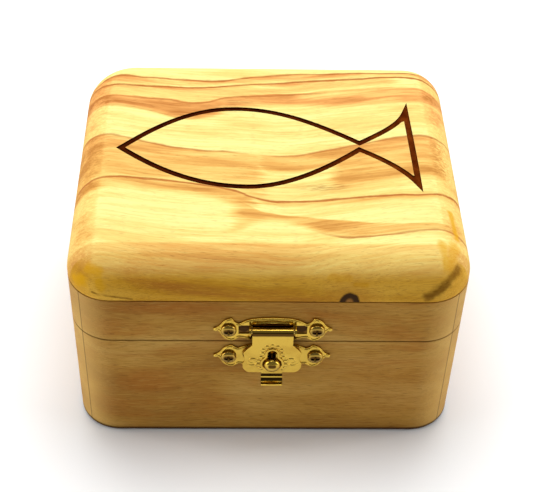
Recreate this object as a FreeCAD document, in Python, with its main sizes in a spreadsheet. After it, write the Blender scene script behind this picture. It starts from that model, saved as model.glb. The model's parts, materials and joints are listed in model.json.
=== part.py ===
import FreeCAD, Part
import math
import os
import Sketcher

# Olive wood keepsake box with a hinged lid and a brass hasp clasp.
# Millimetres, +Z up, origin at the middle of the underside, front towards -Y.

SIZES = [
    ("box_width", 100.0, "outside width of the walls"),
    ("box_depth", 87.0, "outside depth of the walls"),
    ("base_height", 36.0, "height of the base walls, level of the split"),
    ("frame_height", 14.0, "height of the lid frame"),
    ("slab_height", 11.1, "thickness of the top board"),
    ("slab_overhang", 0.15, "how far the top board stands out past the walls"),
    ("slab_round", 9.5, "rounding of the upper edges of the top board"),
    ("slab_foot_ease", 0.6, "easing of the lower edges of the top board"),
    ("slab_corner", 11.5, "rounding of the upright corners of the top board"),
    ("corner_round", 11.0, "rounding of the upright corners of the walls"),
    ("wall_thick", 9.0, "thickness of the walls"),
    ("edge_ease", 0.35, "easing of the outer edges at the split"),
    ("floor_thick", 6.0, "thickness of the bottom panel"),
    ("floor_ledge", 4.0, "depth of the rabbet that holds the bottom panel"),
    ("floor_gap", 0.1, "play between the bottom panel and its rabbet"),
    ("hinge_inset", 24.0, "from the outside of a side wall to the middle of a hinge"),
    ("hinge_length", 20.0, "length of a hinge along the back"),
    ("hinge_drop", 9.5, "from the hinge axis to the free edge of a leaf"),
    ("hinge_sheet", 0.8, "sheet thickness of the hinges"),
    ("hinge_pin_dia", 1.6, "diameter of the hinge pins"),
    ("hinge_knuckle", 7.6, "length of the middle knuckle"),
    ("hinge_pin_cap", 0.4, "how far a hinge pin stands out at each end"),
    ("barrel_gap", 0.15, "play between the hinge barrel and the wood"),
    ("knuckle_gap", 0.3, "play between neighbouring knuckles and lugs"),
    ("pin_gap", 0.05, "radial play of the pins in their knuckles"),
    ("hole_gap", 0.05, "radial play of screws and stud in their holes"),
    ("tip_gap", 0.5, "free depth past the tips of screws and stud"),
    ("hinge_hole_spread", 12.0, "distance between the screw holes of one leaf"),
    ("hinge_hole_drop", 5.8, "from the hinge axis to the screw holes"),
    ("hinge_hole_dia", 1.8, "diameter of the screw holes of the leaves"),
    ("clasp_shift", 1.0, "how far the clasp sits right of the middle"),
    ("plate_width", 29.6, "width of the clasp plates over the ear tips"),
    ("plate_height", 8.0, "height of the ears of the clasp plates"),
    ("plate_sheet", 0.5, "sheet thickness of the clasp plates"),
    ("upper_plate_rise", 4.7, "middle of the lid plate above the split"),
    ("lower_plate_drop", 5.1, "middle of the base plate below the split"),
    ("plate_screw_inset", 3.85, "from the tip of an ear to the middle of its screw"),
    ("clasp_screw_dia", 2.0, "shank diameter of the clasp screws"),
    ("clasp_head_dia", 3.9, "head diameter of the clasp screws"),
    ("clasp_head_height", 1.2, "head height of the clasp screws"),
    ("clasp_head_rim", 0.4, "straight rim of those heads under the slope"),
    ("clasp_head_top", 2.3, "diameter of the flat top of those heads"),
    ("clasp_screw_length", 6.5, "shank length of the clasp screws under the head"),
    ("clasp_pin_rise", 5.25, "axis of the clasp pin above the split"),
    ("clasp_pin_dia", 1.0, "diameter of the clasp pin"),
    ("hasp_sheet", 0.55, "sheet thickness of the hasp"),
    ("hasp_neck", 10.2, "width of the hasp at the knuckle"),
    ("hasp_neck_drop", 4.0, "from the clasp pin to where the hasp widens"),
    ("hasp_width", 14.8, "width of the hasp over its lobes"),
    ("hasp_drop", 14.0, "from the clasp pin to the lower edge of the hasp"),
    ("roll_gap", 0.12, "play between the rolled knuckle and the plate"),
    ("lug_sheet", 0.5, "thickness of the bent lugs"),
    ("lug_reach", 1.15, "height of a lug above and below the pin"),
    ("window_width", 2.6, "width of the windows that the lugs are bent from"),
    ("window_height", 3.0, "height of those windows"),
    ("slot_half", 1.2, "half width of the slot above the round of the keyhole"),
    ("slot_rise", 3.6, "from the stud up to the middle of the slot's round end"),
    ("slot_play", 0.45, "radial play of the stud head in the keyhole"),
    ("slot_drop", 0.2, "how far the round of the keyhole sits below the stud"),
    ("bezel_width", 0.6, "width of the raised rim round the keyhole"),
    ("bezel_height", 0.3, "height of that rim"),
    ("stud_neck_dia", 2.2, "diameter of the stud neck"),
    ("stud_collar_dia", 3.4, "diameter of the collar on the plate"),
    ("stud_collar", 0.5, "height of that collar"),
    ("stud_head_dia", 4.0, "diameter of the domed stud head"),
    ("stud_head_height", 1.5, "height of the domed stud head"),
    ("stud_head_rim", 0.4, "straight rim of that head under the dome"),
    ("stud_head_gap", 0.2, "distance from the rim of the keyhole to the stud head"),
    ("stud_length", 5.0, "length of the stud tail in the wood"),
    ("tab_width", 5.5, "width of the finger tab"),
    ("tab_drop", 1.3, "straight part of the tab below the hasp"),
    ("tab_curl", 1.3, "inner radius of the curl of the tab"),
    ("tab_lip", 0.5, "straight lip after the curl"),
]


class Dim:
    """A length that keeps its number together with the sheet expression for it."""

    def __init__(self, value, text):
        self.value = float(value)
        self.text = text

    def __add__(self, other):
        other = as_dim(other)
        return Dim(self.value + other.value, "(%s + %s)" % (self.text, other.text))

    def __sub__(self, other):
        other = as_dim(other)
        return Dim(self.value - other.value, "(%s - %s)" % (self.text, other.text))

    def __mul__(self, other):
        other = as_dim(other)
        return Dim(self.value * other.value, "(%s * %s)" % (self.text, other.text))

    def __truediv__(self, other):
        other = as_dim(other)
        return Dim(self.value / other.value, "(%s / %s)" % (self.text, other.text))

    def __neg__(self):
        return Dim(-self.value, "(0 - %s)" % self.text)


def as_dim(value):
    if isinstance(value, Dim):
        return value
    return Dim(value, "%.6f" % value)


def root(value):
    return Dim(math.sqrt(value.value), "sqrt(%s)" % value.text)


class Sizes:
    """The cells of the sheet as named lengths."""


doc = FreeCAD.newDocument("olive_wood_box")
sheet = doc.addObject("Spreadsheet::Sheet", "sizes")
size = Sizes()
for row, (alias, number, meaning) in enumerate(SIZES, start=1):
    sheet.set("A%d" % row, meaning)
    sheet.set("B%d" % row, "%g" % number)
    sheet.setAlias("B%d" % row, alias)
    setattr(size, alias, Dim(number, "sizes." + alias))
doc.recompute()

ZERO = as_dim(0.0)
MITRE = 1.0 - math.sqrt(0.5)
half_width = size.box_width / 2
half_depth = size.box_depth / 2
split = size.base_height
slab_level = split + size.frame_height
seam = size.corner_round * MITRE
bodies = []


# General helpers

def new_body(label):
    body = doc.addObject("PartDesign::Body", label)
    body.Label = label
    body.AllowCompound = True
    bodies.append(body)
    return body


def new_sketch(body, name, role, level=None):
    sketch = body.newObject("Sketcher::SketchObject", name)
    plane = [p for p in body.Origin.OriginFeatures if p.Role == role][0]
    sketch.AttachmentSupport = [(plane, "")]
    sketch.MapMode = "FlatFace"
    if level is not None:
        sketch.AttachmentOffset = FreeCAD.Placement(
            FreeCAD.Vector(0, 0, level.value), FreeCAD.Rotation())
        sketch.setExpression("AttachmentOffset.Base.z", level.text)
    return sketch


def bind(sketch, kind, dim, *where):
    index = sketch.addConstraint(Sketcher.Constraint(kind, *where, dim.value))
    sketch.setExpression("Constraints[%d]" % index, dim.text)


def pin_point(sketch, geometry, position, x, y):
    for kind, dim, axis in (("DistanceX", x, -2), ("DistanceY", y, -1)):
        if abs(dim.value) < 1e-9:
            sketch.addConstraint(Sketcher.Constraint("PointOnObject", geometry, position, axis))
        else:
            bind(sketch, kind, dim, -1, 1, geometry, position)


def draw_circle(sketch, x, y, radius):
    centre = FreeCAD.Vector(x.value, y.value, 0)
    circle = Part.Circle(centre, FreeCAD.Vector(0, 0, 1), radius.value)
    index = sketch.addGeometry(circle, False)
    pin_point(sketch, index, 3, x, y)
    bind(sketch, "Radius", radius, index)


def arc_curve(start, end, radius, turn):
    """Arc from start to end, turning left (+1) or right (-1), always the short way."""
    middle = (start + end) * 0.5
    along = end - start
    left = FreeCAD.Vector(-along.y, along.x, 0).normalize()
    reach = math.sqrt(max(radius ** 2 - (along.Length / 2) ** 2, 0.0))
    centre = middle + left * (turn * reach)
    first, last = (start, end) if turn > 0 else (end, start)
    begin = math.atan2(first.y - centre.y, first.x - centre.x)
    finish = math.atan2(last.y - centre.y, last.x - centre.x)
    if finish <= begin:
        finish += 2 * math.pi
    circle = Part.Circle(centre, FreeCAD.Vector(0, 0, 1), radius)
    return Part.ArcOfCircle(circle, begin, finish)


def draw_outline(sketch, path):
    """Closed outline; each entry is (x, y, edge), where edge is None for a straight
    line or (radius, turn) for an arc to the next point."""
    ends = []
    for number, (x, y, edge) in enumerate(path):
        next_x, next_y, unused = path[(number + 1) % len(path)]
        start = FreeCAD.Vector(x.value, y.value, 0)
        end = FreeCAD.Vector(next_x.value, next_y.value, 0)
        if edge is None:
            index = sketch.addGeometry(Part.LineSegment(start, end), False)
            ends.append((index, 1, 2))
        else:
            radius, turn = edge
            index = sketch.addGeometry(arc_curve(start, end, radius.value, turn), False)
            ends.append((index, 1, 2) if turn > 0 else (index, 2, 1))
    for number, (index, first, last) in enumerate(ends):
        after, after_first, unused = ends[(number + 1) % len(ends)]
        sketch.addConstraint(Sketcher.Constraint("Coincident", index, last, after, after_first))
    for (x, y, edge), (index, first, last) in zip(path, ends):
        pin_point(sketch, index, first, x, y)
        if edge is not None:
            bind(sketch, "Radius", edge[0], index)


def sagged(start, end, sag):
    """Radius of the arc whose rise over the chord is sag times the chord."""
    dx = end[0] - start[0]
    dy = end[1] - start[1]
    chord = root(dx * dx + dy * dy)
    return chord * ((0.25 + sag * sag) / (2 * sag))


def add_feature(body, kind, name, sketch, length=None, backwards=False):
    feature = body.newObject("PartDesign::" + kind, name)
    feature.Profile = sketch
    if length is not None:
        feature.Length = length.value
        feature.setExpression("Length", length.text)
    feature.Reversed = backwards
    body.Tip = feature
    doc.recompute()
    return feature


def dress_edges(body, kind, name, reach, wanted):
    """Rounds (Fillet) or cuts off (Chamfer) the wanted edges of the last feature."""
    base = body.Tip
    names = []
    for number, edge in enumerate(base.Shape.Edges, start=1):
        if wanted(edge):
            names.append("Edge%d" % number)
    dressing = body.newObject("PartDesign::" + kind, name)
    dressing.Base = (base, names)
    measure = "Radius" if kind == "Fillet" else "Size"
    setattr(dressing, measure, reach.value)
    dressing.setExpression(measure, reach.text)
    body.Tip = dressing
    doc.recompute()
    return dressing


def edge_middle(edge):
    return edge.valueAt((edge.FirstParameter + edge.LastParameter) / 2)


def rectangle(left, right, low, high):
    return [(left, low, None), (right, low, None), (right, high, None), (left, high, None)]


def turned(body, name, axis_x, level, path):
    """Turned piece with its axis along Y; path gives (radius, y, edge)."""
    sketch = new_sketch(body, name + "_profile", "XY_Plane", level)
    points = [(axis_x + radius, y, edge) for radius, y, edge in path]
    draw_outline(sketch, points)
    top = FreeCAD.Vector(axis_x.value, path[0][1].value, 0)
    foot = FreeCAD.Vector(axis_x.value, path[-1][1].value, 0)
    axis = sketch.addGeometry(Part.LineSegment(top, foot), True)
    pin_point(sketch, axis, 1, axis_x, path[0][1])
    pin_point(sketch, axis, 2, axis_x, path[-1][1])
    feature = body.newObject("PartDesign::Revolution", name)
    feature.Profile = sketch
    feature.ReferenceAxis = (sketch, ["Axis0"])
    feature.Angle = 360.0
    body.Tip = feature
    doc.recompute()
    return feature


# Wooden walls, floor and top board

def wall_path(half_long, half_across, side):
    """Plan of a mitred wall that runs along the first axis at side * half_across."""
    near = half_across * side
    seam_near = (half_across - seam) * side
    inner_near = (half_across - size.wall_thick) * side
    tangent = half_long - size.corner_round
    seam_far = half_long - seam
    inner_far = half_long - size.wall_thick
    curve = (size.corner_round, -side)
    return [
        (-inner_far, inner_near, None),
        (-seam_far, seam_near, curve),
        (-tangent, near, None),
        (tangent, near, curve),
        (seam_far, seam_near, None),
        (inner_far, inner_near, None),
    ]


def swap_axes(path):
    """The same plan with the two axes exchanged; arcs then turn the other way."""
    swapped = []
    for x, y, edge in path:
        swapped.append((y, x, None if edge is None else (edge[0], -edge[1])))
    return swapped


def make_wall(label, side, along_x, level, height, eased_level, rabbet):
    body = new_body(label)
    if along_x:
        path = wall_path(half_width, half_depth, side)
    else:
        path = swap_axes(wall_path(half_depth, half_width, side))
    plan = new_sketch(body, label + "_plan", "XY_Plane", level)
    draw_outline(plan, path)
    add_feature(body, "Pad", label + "_wall", plan, height)
    if rabbet:
        seat = new_sketch(body, label + "_seat", "XY_Plane")
        reach_x = half_width - size.wall_thick + size.floor_ledge
        reach_y = half_depth - size.wall_thick + size.floor_ledge
        draw_outline(seat, rectangle(-reach_x, reach_x, -reach_y, reach_y))
        add_feature(body, "Pocket", label + "_rabbet", seat, size.floor_thick, True)
    outside = (half_depth if along_x else half_width).value - seam.value + 1e-4

    def on_split_edge(edge):
        box = edge.BoundBox
        middle = edge_middle(edge)
        out = side * (middle.y if along_x else middle.x)
        flat = abs(box.ZMin - eased_level.value) < 1e-6 and box.ZLength < 1e-6
        return flat and out > outside

    dress_edges(body, "Chamfer", label + "_eased", size.edge_ease, on_split_edge)
    return body


def drill(body, name, points, radius, depth):
    """Round holes square to the front face."""
    sketch = new_sketch(body, name + "_marks", "XZ_Plane", half_depth)
    for x, z in points:
        draw_circle(sketch, x, z, radius)
    add_feature(body, "Pocket", name, sketch, depth)


WALLS = [("front", -1, True), ("back", 1, True), ("left", -1, False), ("right", 1, False)]
walls = {}
for place, side, along_x in WALLS:
    walls["base_" + place] = make_wall(
        "base_" + place, side, along_x, ZERO, size.base_height, split, True)
    walls["lid_" + place] = make_wall(
        "lid_" + place, side, along_x, split, size.frame_height, split, False)

floor = new_body("base_floor")
floor_plan = new_sketch(floor, "floor_plan", "XY_Plane")
floor_x = half_width - size.wall_thick + size.floor_ledge - size.floor_gap
floor_y = half_depth - size.wall_thick + size.floor_ledge - size.floor_gap
draw_outline(floor_plan, rectangle(-floor_x, floor_x, -floor_y, floor_y))
add_feature(floor, "Pad", "floor_panel", floor_plan, size.floor_thick)

slab = new_body("lid_top")
slab_plan = new_sketch(slab, "slab_plan", "XY_Plane", slab_level)
slab_x = half_width + size.slab_overhang
slab_y = half_depth + size.slab_overhang
turn_x = slab_x - size.slab_corner
turn_y = slab_y - size.slab_corner
bend = (size.slab_corner, 1)
draw_outline(slab_plan, [
    (-turn_x, -slab_y, None),
    (turn_x, -slab_y, bend),
    (slab_x, -turn_y, None),
    (slab_x, turn_y, bend),
    (turn_x, slab_y, None),
    (-turn_x, slab_y, bend),
    (-slab_x, turn_y, None),
    (-slab_x, -turn_y, bend),
])
add_feature(slab, "Pad", "slab_board", slab_plan, size.slab_height)
slab_top = (slab_level + size.slab_height).value
slab_low = slab_level.value
dress_edges(slab, "Fillet", "slab_upper_round", size.slab_round,
            lambda edge: edge.BoundBox.ZMin > slab_top - 1e-6)
dress_edges(slab, "Chamfer", "slab_lower_ease", size.slab_foot_ease,
            lambda edge: edge.BoundBox.ZMax < slab_low + 1e-6)


# Hinges on the back

hinge_bore = size.hinge_pin_dia / 2 + size.pin_gap
barrel = hinge_bore + size.hinge_sheet
hinge_y = half_depth + size.barrel_gap + barrel
leaf_start = barrel + size.knuckle_gap
hinge_half = size.hinge_length / 2
middle_half = size.hinge_knuckle / 2
outer_inside = middle_half + size.knuckle_gap


def hinge_leaf(label, centre, side, spans):
    """Leaf below (-1) or above (+1) the axis; spans are the knuckle ranges along X."""
    body = new_body(label)
    inner = split + leaf_start * side
    outer = split + size.hinge_drop * side
    left = centre - hinge_half
    right = centre + hinge_half
    plate = new_sketch(body, label + "_outline", "XZ_Plane", -half_depth)
    draw_outline(plate, rectangle(left, right, inner, outer))
    add_feature(body, "Pad", label + "_plate", plate, size.hinge_sheet, True)
    for number, (start, stop) in enumerate(spans, start=1):
        part = "%s_%d" % (label, number)
        first = centre + start
        web = new_sketch(body, part + "_web_side", "YZ_Plane", first)
        back = half_depth + size.hinge_sheet
        draw_outline(web, [
            (half_depth, split, None),
            (half_depth, inner, None),
            (back, inner, None),
            (back, split, None),
        ])
        add_feature(body, "Pad", part + "_web", web, stop - start)
        ring = new_sketch(body, part + "_ring_side", "YZ_Plane", first)
        draw_circle(ring, hinge_y, split, barrel)
        add_feature(body, "Pad", part + "_ring", ring, stop - start)
    bore = new_sketch(body, label + "_bore_side", "YZ_Plane", left)
    draw_circle(bore, hinge_y, split, hinge_bore)
    add_feature(body, "Pocket", label + "_bore", bore, size.hinge_length, True)
    marks = new_sketch(body, label + "_hole_marks", "XZ_Plane", -half_depth)
    level = split + size.hinge_hole_drop * side
    reach = size.hinge_hole_spread / 2
    for x in (centre - reach, centre + reach):
        draw_circle(marks, x, level, size.hinge_hole_dia / 2)
    add_feature(body, "Pocket", label + "_holes", marks, size.hinge_sheet)
    return body


OUTER_KNUCKLES = [(-hinge_half, -outer_inside), (outer_inside, hinge_half)]
MIDDLE_KNUCKLE = [(-middle_half, middle_half)]
hinge_reach = half_width - size.hinge_inset
HINGES = [("left", -hinge_reach), ("right", hinge_reach)]
for place, centre in HINGES:
    hinge_leaf("hinge_leaf_base_" + place, centre, -1, OUTER_KNUCKLES)
    hinge_leaf("hinge_leaf_lid_" + place, centre, 1, MIDDLE_KNUCKLE)
    pin = new_body("hinge_pin_" + place)
    pin_start = centre - hinge_half - size.hinge_pin_cap
    pin_end = new_sketch(pin, "hinge_pin_%s_end" % place, "YZ_Plane", pin_start)
    draw_circle(pin_end, hinge_y, split, size.hinge_pin_dia / 2)
    pin_length = size.hinge_length + size.hinge_pin_cap * 2
    add_feature(pin, "Pad", "hinge_pin_%s_rod" % place, pin_end, pin_length)


# Clasp on the front

clasp_x = size.clasp_shift
plate_face = half_depth + size.plate_sheet
pin_z = split + size.clasp_pin_rise
clasp_bore = size.clasp_pin_dia / 2 + size.pin_gap
roll = clasp_bore + size.hasp_sheet
pin_out = plate_face + size.roll_gap + roll
upper_z = split + size.upper_plate_rise
lower_z = split - size.lower_plate_drop
screw_reach = size.plate_width / 2 - size.plate_screw_inset
neck_half = size.hasp_neck / 2

# Half outline of a plate as shares of half its width and half its ear height,
# from the crown of the arch round the ear to the straight lower edge; the last number
# is the sag of the arc to the next point, positive where the arc swells outwards.
EAR_HALF = [
    (0.68, 1.00, 0.13),
    (0.86, 0.56, -0.10),
    (1.00, 0.10, -0.10),
    (0.87, -0.42, 0.14),
    (0.70, -1.00, 0.10),
    (0.57, -0.70, -0.06),
    (0.37, -0.95, 0.0),
]
LID_PLATE_HALF = [(0.34, 0.95, 0.07), (0.56, 0.50, -0.14)] + EAR_HALF
BASE_PLATE_HALF = [(0.34, 1.10, 0.05), (0.57, 0.72, -0.10)] + EAR_HALF
CROWN_SAG = 0.04


def plate_path(level, half_outline):
    half = size.plate_width / 2
    high = size.plate_height / 2
    right = [(clasp_x + half * u, level + high * v, sag) for u, v, sag in half_outline]
    left = [(clasp_x - half * u, level + high * v, sag) for u, v, sag in half_outline]
    points = right + left[::-1]
    sags = [p[2] for p in right] + [p[2] for p in left[:-1]][::-1] + [CROWN_SAG]
    path = []
    for number, (x, z, unused) in enumerate(points):
        sag = sags[number]
        following = points[(number + 1) % len(points)]
        if sag == 0.0:
            edge = None
        else:
            edge = (sagged((x, z), following, abs(sag)), -1 if sag > 0 else 1)
        path.append((x, z, edge))
    return path


def clasp_plate(label, level, half_outline):
    body = new_body(label)
    face = new_sketch(body, label + "_outline", "XZ_Plane", half_depth)
    draw_outline(face, plate_path(level, half_outline))
    add_feature(body, "Pad", label + "_sheet", face, size.plate_sheet)
    marks = new_sketch(body, label + "_screw_marks", "XZ_Plane", plate_face)
    for x, z in plate_screws(level):
        draw_circle(marks, x, z, size.clasp_screw_dia / 2 + size.hole_gap)
    add_feature(body, "Pocket", label + "_holes", marks, size.plate_sheet)
    return body


def plate_screws(level):
    return [(clasp_x - screw_reach, level), (clasp_x + screw_reach, level)]


upper = clasp_plate("clasp_plate_lid", upper_z, LID_PLATE_HALF)
lug_inside = neck_half + size.knuckle_gap
lug_outside = lug_inside + size.lug_sheet
for place, side in (("left", -1), ("right", 1)):
    window = new_sketch(upper, "window_%s_marks" % place, "XZ_Plane", plate_face)
    near = clasp_x + lug_outside * side
    far = clasp_x + (lug_outside + size.window_width) * side
    window_low = upper_z - size.window_height / 2
    window_high = upper_z + size.window_height / 2
    draw_outline(window, rectangle(near, far, window_low, window_high))
    add_feature(upper, "Pocket", "window_" + place, window, size.plate_sheet)
    start = clasp_x + (lug_outside * -1 if side < 0 else lug_inside)
    lug = new_sketch(upper, "lug_%s_side" % place, "YZ_Plane", start)
    draw_outline(lug, [
        (-half_depth, pin_z - size.lug_reach, None),
        (-half_depth, pin_z + size.lug_reach, None),
        (-pin_out, pin_z + size.lug_reach, (size.lug_reach, 1)),
        (-pin_out - size.lug_reach, pin_z, (size.lug_reach, 1)),
        (-pin_out, pin_z - size.lug_reach, None),
    ])
    add_feature(upper, "Pad", "lug_" + place, lug, size.lug_sheet)
lug_bore = new_sketch(upper, "lug_bore_side", "YZ_Plane", clasp_x - lug_outside)
draw_circle(lug_bore, -pin_out, pin_z, clasp_bore)
add_feature(upper, "Pocket", "lug_bore", lug_bore, lug_outside * 2, True)

lower = clasp_plate("clasp_plate_base", lower_z, BASE_PLATE_HALF)
stud_mark = new_sketch(lower, "stud_mark", "XZ_Plane", plate_face)
stud_neck = size.stud_neck_dia / 2
draw_circle(stud_mark, clasp_x, lower_z, stud_neck + size.hole_gap)
add_feature(lower, "Pocket", "stud_hole", stud_mark, size.plate_sheet)

clasp_pin = new_body("clasp_pin")
clasp_pin_end = new_sketch(clasp_pin, "clasp_pin_end", "YZ_Plane", clasp_x - lug_outside)
draw_circle(clasp_pin_end, -pin_out, pin_z, size.clasp_pin_dia / 2)
add_feature(clasp_pin, "Pad", "clasp_pin_rod", clasp_pin_end, lug_outside * 2)

for part, level in (("lid", upper_z), ("base", lower_z)):
    spots = plate_screws(level)
    drill(walls[part + "_front"], part + "_clasp_pilots", spots,
          size.clasp_screw_dia / 2 + size.hole_gap, size.clasp_screw_length + size.tip_gap)
    screws = new_body("clasp_screws_" + part)
    seat = -plate_face
    rim = seat - size.clasp_head_rim
    crown = seat - size.clasp_head_height
    tip = seat + size.clasp_screw_length
    shank = size.clasp_screw_dia / 2
    head = size.clasp_head_dia / 2
    for number, (x, z) in enumerate(spots, start=1):
        turned(screws, "clasp_screw_%s_%d" % (part, number), x, z, [
            (ZERO, crown, None),
            (size.clasp_head_top / 2, crown, None),
            (head, rim, None),
            (head, seat, None),
            (shank, seat, None),
            (shank, tip, None),
            (ZERO, tip, None),
        ])

# The hasp hangs from the pin; its sheet meets the front of the rolled knuckle.
hasp_front = pin_out + roll
hasp_back = hasp_front - size.hasp_sheet
hasp_low = pin_z - size.hasp_drop
# Lobes of the hasp as shares of its width and of the height below the neck, then the
# sag of each arc from the neck to the lower edge, positive where it swells outwards.
HASP_HALF = [
    (0.495, 0.28),
    (0.475, 0.60),
    (0.50, 0.74),
    (0.455, 0.93),
    (0.37, 1.0),
]
HASP_SAGS = [0.04, -0.05, 0.15, 0.12, 0.12]
hasp = new_body("clasp_hasp")
hasp_face = new_sketch(hasp, "hasp_outline", "XZ_Plane", hasp_back)
neck_low = pin_z - size.hasp_neck_drop
lobe_span = neck_low - hasp_low
right = [(clasp_x + neck_half, neck_low)]
left = [(clasp_x - neck_half, neck_low)]
for share_x, share_z in HASP_HALF:
    right.append((clasp_x + size.hasp_width * share_x, neck_low - lobe_span * share_z))
    left.append((clasp_x - size.hasp_width * share_x, neck_low - lobe_span * share_z))
hasp_path = [(clasp_x - neck_half, pin_z, None), (clasp_x + neck_half, pin_z, None)]
for number, sag in enumerate(HASP_SAGS):
    radius = sagged(right[number], right[number + 1], abs(sag))
    hasp_path.append(right[number] + ((radius, -1 if sag > 0 else 1),))
hasp_path.append(right[-1] + (None,))
for number in range(len(HASP_SAGS), 0, -1):
    sag = HASP_SAGS[number - 1]
    radius = sagged(left[number], left[number - 1], abs(sag))
    hasp_path.append(left[number] + ((radius, -1 if sag > 0 else 1),))
hasp_path.append(left[0] + (None,))
draw_outline(hasp_face, hasp_path)
add_feature(hasp, "Pad", "hasp_sheet", hasp_face, size.hasp_sheet)

roll_side = new_sketch(hasp, "roll_side", "YZ_Plane", clasp_x - neck_half)
draw_circle(roll_side, -pin_out, pin_z, roll)
add_feature(hasp, "Pad", "hasp_roll", roll_side, size.hasp_neck)
roll_bore = new_sketch(hasp, "roll_bore_side", "YZ_Plane", clasp_x - neck_half)
draw_circle(roll_bore, -pin_out, pin_z, clasp_bore)
add_feature(hasp, "Pocket", "hasp_bore", roll_bore, size.hasp_neck, True)

tab_half = size.tab_width / 2
tab_side = new_sketch(hasp, "tab_side", "YZ_Plane", clasp_x - tab_half)
tab_turn = hasp_low - size.tab_drop
tab_centre = -hasp_front - size.tab_curl
tab_outer = size.tab_curl + size.hasp_sheet
draw_outline(tab_side, [
    (-hasp_front, hasp_low + size.hasp_sheet, None),
    (-hasp_front, tab_turn, (size.tab_curl, -1)),
    (tab_centre, tab_turn - size.tab_curl, None),
    (tab_centre - size.tab_lip, tab_turn - size.tab_curl, None),
    (tab_centre - size.tab_lip, tab_turn - tab_outer, None),
    (tab_centre, tab_turn - tab_outer, (tab_outer, 1)),
    (-hasp_back, tab_turn, None),
    (-hasp_back, hasp_low + size.hasp_sheet, None),
])
add_feature(hasp, "Pad", "hasp_tab", tab_side, size.tab_width)

# The hole is a keyhole, a round wide enough for the stud head with a slot above it, and
# has a raised rim.
stud_head = size.stud_head_dia / 2
slot_low = lower_z - size.slot_drop
slot_high = lower_z + size.slot_rise


def keyhole_path(margin):
    wide = stud_head + size.slot_play + margin
    narrow = size.slot_half + margin
    meeting = slot_low + root(wide * wide - narrow * narrow)
    return [
        (clasp_x + narrow, slot_high, (narrow, 1)),
        (clasp_x, slot_high + narrow, (narrow, 1)),
        (clasp_x - narrow, slot_high, None),
        (clasp_x - narrow, meeting, (wide, 1)),
        (clasp_x - wide, slot_low, (wide, 1)),
        (clasp_x, slot_low - wide, (wide, 1)),
        (clasp_x + wide, slot_low, (wide, 1)),
        (clasp_x + narrow, meeting, None),
    ]


bezel = new_sketch(hasp, "bezel_outline", "XZ_Plane", hasp_front)
draw_outline(bezel, keyhole_path(size.bezel_width))
add_feature(hasp, "Pad", "hasp_bezel", bezel, size.bezel_height)
keyhole = new_sketch(hasp, "keyhole_outline", "XZ_Plane", hasp_front + size.bezel_height)
draw_outline(keyhole, keyhole_path(ZERO))
add_feature(hasp, "Pocket", "hasp_hole", keyhole, size.hasp_sheet + size.bezel_height)

stud = new_body("clasp_stud")
stud_seat = -plate_face
stud_base = -hasp_front - size.bezel_height - size.stud_head_gap
stud_tail = -half_depth + size.stud_length
stud_rim = stud_base - size.stud_head_rim
stud_crown = stud_base - size.stud_head_height
stud_rise = size.stud_head_height - size.stud_head_rim
stud_dome = (stud_head * stud_head + stud_rise * stud_rise) / (stud_rise * 2)
collar = size.stud_collar_dia / 2
turned(stud, "stud_turning", clasp_x, lower_z, [
    (ZERO, stud_crown, (stud_dome, 1)),
    (stud_head, stud_rim, None),
    (stud_head, stud_base, None),
    (stud_neck, stud_base, None),
    (stud_neck, stud_seat - size.stud_collar, None),
    (collar, stud_seat - size.stud_collar, None),
    (collar, stud_seat, None),
    (stud_neck, stud_seat, None),
    (stud_neck, stud_tail, None),
    (ZERO, stud_tail, None),
])
drill(walls["base_front"], "stud_pilot", [(clasp_x, lower_z)],
      stud_neck + size.hole_gap, size.stud_length + size.tip_gap)

# Check and write

doc.recompute()
for item in doc.Objects:
    if "Invalid" in item.State or "Error" in item.State:
        raise ValueError("object with an error: " + item.Label)
os.makedirs("parts", exist_ok=True)
for body in bodies:
    if body.Shape.isNull() or not body.Shape.isValid():
        raise ValueError("shape not valid: " + body.Label)
    body.Shape.exportStep("parts/%s.step" % body.Label)
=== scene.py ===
import functools
import json
import math

import bmesh
import bpy
from mathutils import Matrix, Vector
from mathutils.geometry import interpolate_bezier


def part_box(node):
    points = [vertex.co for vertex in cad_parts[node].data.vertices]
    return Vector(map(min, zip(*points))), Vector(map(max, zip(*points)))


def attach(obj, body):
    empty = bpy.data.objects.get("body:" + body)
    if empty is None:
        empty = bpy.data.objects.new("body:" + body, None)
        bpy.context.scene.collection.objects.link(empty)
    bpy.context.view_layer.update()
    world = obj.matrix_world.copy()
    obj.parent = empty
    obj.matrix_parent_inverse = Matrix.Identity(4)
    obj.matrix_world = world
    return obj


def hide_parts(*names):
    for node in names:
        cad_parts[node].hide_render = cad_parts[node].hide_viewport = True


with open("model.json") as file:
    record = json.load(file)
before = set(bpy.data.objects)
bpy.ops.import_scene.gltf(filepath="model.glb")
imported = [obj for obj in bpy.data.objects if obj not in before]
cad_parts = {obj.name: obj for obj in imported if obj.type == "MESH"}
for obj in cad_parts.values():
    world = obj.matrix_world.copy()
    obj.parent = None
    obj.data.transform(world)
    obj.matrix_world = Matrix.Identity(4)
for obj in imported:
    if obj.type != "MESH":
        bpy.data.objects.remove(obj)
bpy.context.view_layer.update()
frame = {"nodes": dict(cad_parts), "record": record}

# Lengths are millimetres until a mesh is finished.
MM = 0.001
FORWARD = (0, -1, 0)
BACKWARD = (0, 1, 0)
RIGHTWARD = (1, 0, 0)


def node_box(node):
    low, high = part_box(node)
    return low / MM, high / MM


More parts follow.
